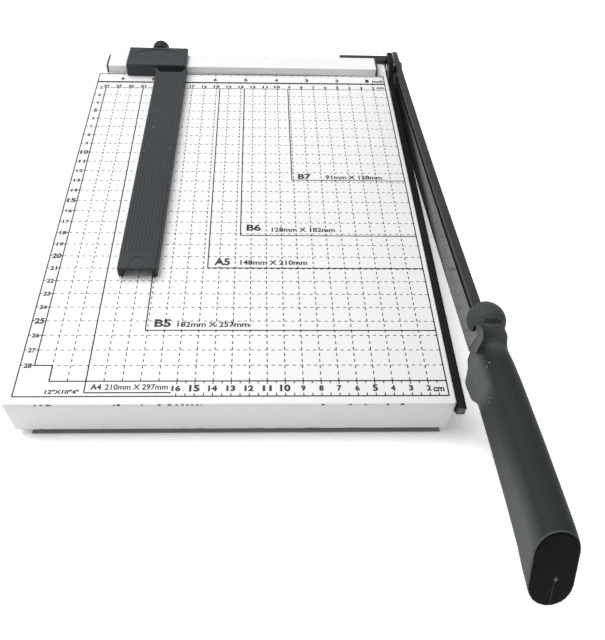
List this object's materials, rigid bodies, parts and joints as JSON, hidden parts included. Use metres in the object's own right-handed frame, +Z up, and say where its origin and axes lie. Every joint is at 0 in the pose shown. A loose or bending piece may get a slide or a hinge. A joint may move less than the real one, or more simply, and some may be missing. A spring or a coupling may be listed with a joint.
{
  "type": "guillotine paper cutter",
  "caption": "Desktop guillotine paper cutter with a gridded white steel board, black blade arm and moulded handle, back fence and a sliding clamped paper gauge",
  "frame": {"origin": "centre of the bounding box's bottom face, on the table between the feet", "axes": "+X right towards the blade, +Y back towards the fence and the pivot, +Z up"},
  "size_m": [0.2724, 0.4412, 0.0827],
  "materials": {
    "white_paint": "satin",
    "black_paint": "satin",
    "black_plastic": "matte",
    "grip_plastic": "satin",
    "blade_steel": "brushed",
    "zinc_steel": "satin",
    "bright_steel": "polished",
    "rubber": "matte",
    "brass": "satin"
  },
  "bodies": {
    "base": {"base_tray": "white_paint", "foot_front_left": "rubber", "foot_front_right": "rubber", "foot_back_left": "rubber", "foot_back_right": "rubber", "foot_screw_front_left": "zinc_steel", "foot_screw_front_right": "zinc_steel", "foot_screw_back_left": "zinc_steel", "foot_screw_back_right": "zinc_steel", "fixed_blade": "black_paint", "fixed_blade_screw_1": "zinc_steel", "fixed_blade_screw_2": "zinc_steel", "fixed_blade_screw_3": "zinc_steel", "fixed_blade_screw_4": "zinc_steel", "pivot_bracket": "black_paint", "bracket_screw_1": "zinc_steel", "bracket_screw_2": "zinc_steel", "fence_rail": "white_paint", "fence_cap_left": "black_plastic", "fence_cap_right": "black_plastic", "fence_screw_1": "zinc_steel", "fence_screw_2": "zinc_steel", "pivot_spacer": "bright_steel", "pivot_washer": "bright_steel", "pivot_bolt": "bright_steel"},
    "gauge": {"gauge_body": "black_plastic", "clamp_insert": "brass"},
    "clamp_pressure": {"clamp_pad": "brass"},
    "clamp_turning": {"clamp_screw": "zinc_steel", "clamp_knob": "black_plastic"},
    "blade_arm": {"arm_spine": "black_paint", "moving_blade": "blade_steel", "blade_rivet_1": "zinc_steel", "blade_rivet_2": "zinc_steel", "blade_rivet_3": "zinc_steel", "blade_rivet_4": "zinc_steel", "handle_grip": "grip_plastic", "handle_screw": "zinc_steel"}
  },
  "joints": [
    {"name": "arm_lift", "type": "hinge", "parent": "base", "child": "blade_arm", "pos_m": [0.11945, 0.19958, 0.0338], "axis": [-1, 0, 0], "range_deg": [-5, 60]},
    {"name": "gauge_slide", "type": "slide", "parent": "base", "child": "gauge", "axis": [1, 0, 0], "range_m": [-0.014, 0.127]},
    {"name": "clamp_press", "type": "slide", "parent": "gauge", "child": "clamp_pressure", "axis": [0.0115, 0.9999, 0], "range_m": [0, 0.0007]},
    {"name": "clamp_turn", "type": "hinge", "parent": "clamp_pressure", "child": "clamp_turning", "pos_m": [-0.08355, 0.19618, 0.0373], "axis": [0.0115, 0.9999, 0], "range_deg": [0, 360]}
  ],
  "couplings": [
    {"joint": "clamp_turn", "follows": "clamp_press", "rad_per_m": 8975}
  ]
}
